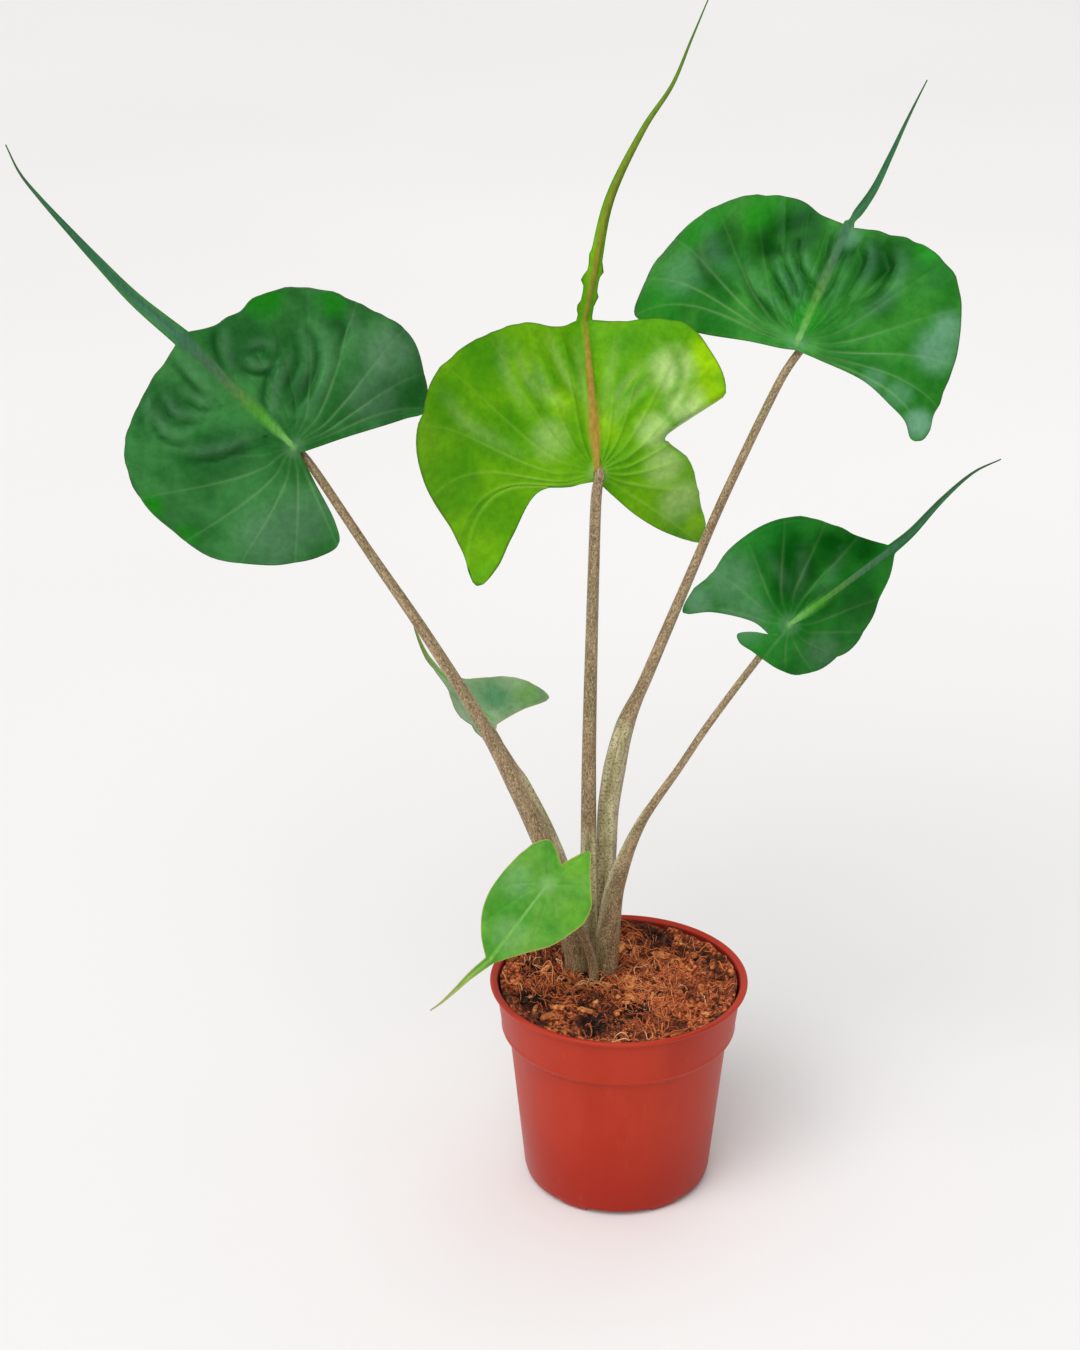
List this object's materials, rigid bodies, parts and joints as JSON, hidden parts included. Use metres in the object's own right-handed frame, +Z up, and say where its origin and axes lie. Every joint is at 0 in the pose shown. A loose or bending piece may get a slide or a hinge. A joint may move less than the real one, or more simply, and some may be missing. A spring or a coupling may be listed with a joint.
{
  "type": "potted giant taro",
  "caption": "Potted aroid: arrow-shaped leaves with long thin tails on tall mottled stalks, in a round tapered nursery pot filled with coir mix.",
  "frame": {"origin": "middle of the pot's underside, on the surface that the pot stands on", "axes": "+Z up along the pot's axis, -Y towards the side that most leaf faces turn to, +X to the right seen from that side"},
  "size_m": [0.4276, 0.1613, 0.5431],
  "materials": {
    "terracotta_plastic": "satin",
    "coir_mix": "rough",
    "corm_skin": "rough",
    "petiole": "satin",
    "blade_dark": "glossy",
    "blade_lime": "satin",
    "blade_pale": "satin"
  },
  "bodies": {
    "root": {"pot": "terracotta_plastic", "potting_mix": "coir_mix", "corm": "corm_skin", "petiole_left": "petiole", "petiole_centre": "petiole", "petiole_right_upper": "petiole", "petiole_right_lower": "petiole", "petiole_small_back": "petiole", "petiole_small_front": "petiole", "blade_left": "blade_dark", "blade_centre": "blade_lime", "blade_right_upper": "blade_dark", "blade_right_lower": "blade_dark", "blade_small_back": "blade_pale", "blade_small_front": "blade_pale"}
  },
  "joints": []
}
